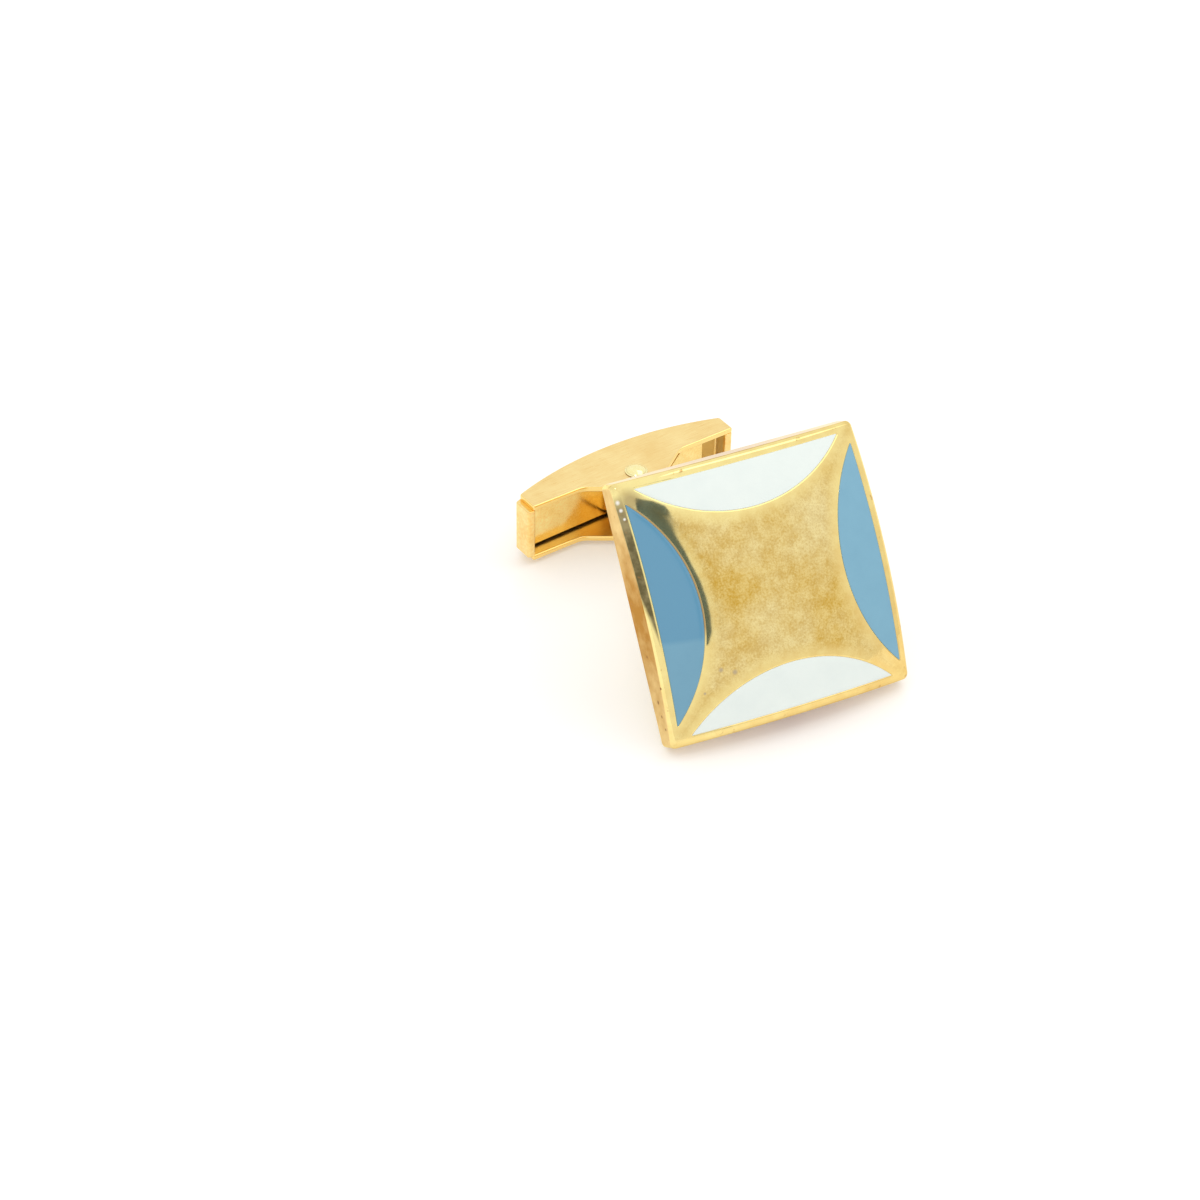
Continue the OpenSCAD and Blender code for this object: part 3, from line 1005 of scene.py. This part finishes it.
satinGold = brushedGold("Brushed gold of the cheeks", brushedLook)
dress(roundedPrism("toggleFrame", frameLoop(), frameLow, frameHigh, toggle["frameEdge"], togglePlace),
      "toggle_frame", "toggle",
      cloudyGold("Gold of the toggle's frame", frameLook, shadedInside))
dress(roundedPrism("upperCheek", cheekLoop(), frameHigh, cheekHigh, toggle["cheekEdge"], togglePlace),
      "upper_cheek", "toggle", satinGold)
dress(roundedPrism("lowerCheek", cheekLoop(), cheekLow, frameLow, toggle["cheekEdge"], togglePlace),
      "lower_cheek", "toggle", satinGold)
dress(roundedPrism("leafSpring", springLoop(), frameLow + spring["sideGap"],
                   frameHigh - spring["sideGap"], spring["edge"], togglePlace),
      "leaf_spring", "toggle", cloudyGold("Gold-plated spring", springLook))
dress(pivotRivet(), "pivot_pin", "toggle",
      cloudyGold("Gold of the rivet with painted highlight and shade", rivetLook, headCreaseShade))
print("toggle is made")


# The post: one casting that runs from the cam around the pin, along an arc, to the face

post = {
    "width": 1.2,
    "height": 2.4,
    "edge": 0.4,
    "start": 1.9,
    "camFlat": 1.45,
    "camCorner": 1,
    "camThick": 3.6,
    "camEdge": 0.12,
    "camSteps": 8,
    "endGaps": (0.002, 0.02),
    "endInset": 0.02,
    "neck": 1.5,
    "neckLead": 0.35,
    "neckSteps": 6,
    "barSteps": 40,
    "sectionPoints": 64,
    "footRadius": 2.3,
    "footRim": 0.4,
    "footCone": 1.3,
    "footSoftness": 0.16,
    "footBend": (0, 20, 40, 60),
    "footSink": 0.05,
    "footThroat": 0.15,
    "footStep": 0.02,
    "footSteps": 12,
    "footPoints": 72,
}


def sectionLoop(halfX, halfY, radius, count):
    # a rounded rectangle with its points spread evenly by direction
    radius = min(radius, halfX, halfY)
    loop = []
    for side, (sx, sy) in enumerate(((1, 1), (-1, 1), (-1, -1), (1, -1))):
        middle = (sx * (halfX - radius), sy * (halfY - radius))
        loop += arcPoints(middle, radius, 90 * side, 90 * side + 90, count // 4 - 1)
    return loop


def easeStep(t):
    t = min(max(t, 0), 1)
    return t * t * (3 - 2 * t)


def barPoints():
    # rounded sections from the cam to the face, where s runs from the pin towards the face
    flat, corner, neck, lead = post["camFlat"], post["camCorner"], post["neck"], post["neckLead"]
    pinX, pinY, pinHeight = pinAt / mm
    bend = (halfWidth * math.cos(lean) - pinHeight) / (1 - math.cos(lean))
    total = post["start"] + bend * lean
    stations = {gap - flat for gap in post["endGaps"]} | {0, flat - corner}
    stations |= {corner * (1 - math.cos(t)) - flat for t in quarterSteps(post["camSteps"])[1:]}
    stations |= {flat + neck * k / post["neckSteps"] for k in range(post["neckSteps"] + 1)}
    stations |= {flat + neck + (total - flat - neck) * k / post["barSteps"]
                 for k in range(1, post["barSteps"] + 1)}
    stations = sorted(stations)
    points = []
    for s in stations:
        along = easeStep((s - flat + lead) / (neck + lead))
        halfX = flat + (post["width"] / 2 - flat) * along
        halfZ = (post["camThick"] + (post["height"] - post["camThick"]) * along) / 2
        if s < corner - flat:
            halfX = flat - corner + math.sqrt(max(corner ** 2 - (corner - flat - s) ** 2, 0))
        if s == stations[0]:
            halfZ -= post["endInset"]
        radius = post["camEdge"] + (post["edge"] - post["camEdge"]) * along
        tilt = max(s - post["start"], 0) / bend
        back = min(s, post["start"]) + bend * math.sin(tilt)
        rise = bend * (1 - math.cos(tilt))
        for u, v in sectionLoop(halfX, halfZ, radius, post["sectionPoints"]):
            points.append((pinX + u, pinY - back + v * math.sin(tilt),
                           pinHeight + rise + v * math.cos(tilt)))
    return points


def footPoints():
    # the foot is turned on the face's own axis, and its profile runs from the plate to the bar
    soft = post["footSoftness"]
    rimLow = -face["thickness"] - post["footRim"]
    profile = [(post["footRadius"], post["footSink"] - face["thickness"])]
    profile += [(post["footRadius"] - soft * (1 - math.cos(math.radians(a))),
                 rimLow - soft * math.sin(math.radians(a)) + soft / 2) for a in post["footBend"]]
    rim, low = profile[-1]
    throat = post["height"] / 2 - post["footThroat"]
    for k, t in enumerate(quarterSteps(post["footSteps"])[1:], 1):
        profile.append((rim + (throat - rim) * math.sin(t),
                        low - post["footCone"] * (1 - math.cos(t)) - post["footStep"] * k))
    toRow = facePlace.copy()
    toRow.translation = facePlace.translation / mm
    return [tuple(toRow @ Vector(p)) for p in turnedPoints(profile, post["footPoints"])]


def postPiece():
    bar, foot = barPoints(), footPoints()
    total = len(bar) + len(foot)
    faces = stackFaces(range(0, len(bar), post["sectionPoints"]), post["sectionPoints"])
    rings = range(len(bar), total, post["footPoints"])
    faces += stackFaces(rings[::-1], post["footPoints"])
    piece = makePiece("curvedPost", bar + foot, faces)
    weightShading(piece)
    return piece


dress(postPiece(), "post", "head", polishedGold)
print("post is made")


# Floor, light and camera

studio = {
    "floorColour": (238, 236, 233),
    "floorSize": 3000,
    "floorGap": 0.01,
    "floorGloss": 0.35,
    "lift": 0.22,
    "skyLow": (0.97, 0.97, 0.97, 1),
    "skyHigh": (1, 1, 1, 1),
    "skyTop": 0.8,
    "background": (1, 1, 1, 1),
}
camera = {
    "place": (-88, -162.96, 145.78),
    "turn": (51.91, -0.77, -25.68),
    "lens": 105,
    "sensor": 36,
    "clip": (10, 10000),
}
# A dark card in front of the face, which the polished gold mirrors beside the left enamel
darkCard = {
    "colour": (100, 120, 144),
    "roughness": 0.9,
    "middle": (-5.2, -102.6, 84.2),
    "aim": (0, -8, 8),
    "outline": ((-5, 32.8), (2.8, 29.3), (8.3, 25.4), (9.7, 22), (9.4, 15.4), (9.7, 9.8),
                (12.2, 2.2), (14.2, -5.6), (17, -14.8), (18.6, -24.1), (19.2, -33.4),
                (18.8, -41.5), (15.8, -48.2), (12.9, -47.2), (13.9, -32.2), (12.8, -17.7),
                (9.3, -3.8), (3.7, 9.2), (0.2, 15.3), (-3.8, 21), (-6.5, 24.5), (-6, 29)),
}
# One lamp lights the bevels and rounded edges that face up, and one leaves a small glint
lamps = {
    "edgeLamp": {"place": (126, -24, 270), "size": 180, "power": 0.08},
    "glintLamp": {"place": (-75, -90, 276), "size": 30, "power": 0.03},
}


def seenDirectly(tree):
    # true for what the camera sees and what gloss and glass show of it
    rays = addNode(tree, "ShaderNodeLightPath").outputs
    glossy = sums(tree, "MAXIMUM", rays["Is Camera Ray"], rays["Is Glossy Ray"])
    return sums(tree, "MAXIMUM", glossy, rays["Is Transmission Ray"])


def makeSheet(name, corners, material):
    mesh = bpy.data.meshes.new(name)
    mesh.from_pydata([Vector(p) * mm for p in corners], [], [tuple(range(len(corners)))])
    mesh.materials.append(material)
    sheet = bpy.data.objects.new(name, mesh)
    bpy.context.scene.collection.objects.link(sheet)
    return sheet


def makeFloor():
    material, tree, shader = startMaterial("White table")
    setInputs(tree, shader, {"Base Color": linear(studio["floorColour"]),
                             "Roughness": studio["floorGloss"]})
    glow = addNode(tree, "ShaderNodeEmission", inputs={
        "Strength": sums(tree, "MULTIPLY", seenDirectly(tree), studio["lift"])})
    both = addNode(tree, "ShaderNodeAddShader", inputs={0: shader.outputs[0], 1: glow.outputs[0]})
    setInputs(tree, tree.nodes["Material Output"], {"Surface": both.outputs[0]})
    half = studio["floorSize"] / 2
    corners = [(-half, -half, 0), (half, -half, 0), (half, half, 0), (-half, half, 0)]
    floor = makeSheet("tableTop", corners, material)
    floor.location.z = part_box("pivot_pin")[0].z - studio["floorGap"] * mm


def makeCard():
    material, tree, shader = startMaterial("Dark card")
    setInputs(tree, shader, {"Base Color": linear(darkCard["colour"]),
                             "Roughness": darkCard["roughness"]})
    middle = Vector(darkCard["middle"])
    facing = (middle - Vector(darkCard["aim"])).normalized()
    across = Vector((0, 0, 1)).cross(facing).normalized()
    up = facing.cross(across)
    card = makeSheet("darkCard", [middle + across * x + up * y for x, y in darkCard["outline"]],
                     material)
    card.visible_camera = card.visible_diffuse = card.visible_shadow = False


def makeLamps():
    for name, settings in lamps.items():
        data = bpy.data.lights.new(name, "AREA")
        data.size, data.energy = settings["size"] * mm, settings["power"]
        lamp = bpy.data.objects.new(name, data)
        lamp.location = Vector(settings["place"]) * mm
        lamp.rotation_euler = lamp.location.to_track_quat("Z", "Y").to_euler()
        bpy.context.scene.collection.objects.link(lamp)


def makeWorld():
    world = bpy.data.worlds.new("Soft white room")
    bpy.context.scene.world = world
    world.use_nodes = True
    tree = world.node_tree
    tree.nodes.clear()
    start = addNode(tree, "ShaderNodeTexCoord")
    ramp = addNode(tree, "ShaderNodeValToRGB", inputs={0: axes(tree, start.outputs["Generated"])[2]})
    low, high = ramp.color_ramp.elements
    low.color, high.color = studio["skyLow"], studio["skyHigh"]
    high.position = studio["skyTop"]
    room = addNode(tree, "ShaderNodeBackground", inputs={"Color": ramp.outputs[0]})
    white = addNode(tree, "ShaderNodeBackground", inputs={"Color": studio["background"]})
    rays = addNode(tree, "ShaderNodeLightPath")
    pick = addNode(tree, "ShaderNodeMixShader", inputs={
        0: rays.outputs["Is Camera Ray"], 1: room.outputs[0], 2: white.outputs[0]})
    addNode(tree, "ShaderNodeOutputWorld", inputs={"Surface": pick.outputs[0]})


def makeCamera():
    data = bpy.data.cameras.new("photoCamera")
    data.lens, data.sensor_width = camera["lens"], camera["sensor"]
    data.clip_start, data.clip_end = (distance * mm for distance in camera["clip"])
    eye = bpy.data.objects.new("photoCamera", data)
    eye.location = Vector(camera["place"]) * mm
    eye.rotation_euler = Euler([math.radians(a) for a in camera["turn"]])
    bpy.context.scene.collection.objects.link(eye)
    bpy.context.scene.camera = eye


makeFloor()
makeCard()
makeLamps()
makeWorld()
makeCamera()
bpy.context.scene.view_settings.view_transform = "Standard"
print("studio is ready")

bpy.context.view_layer.update()
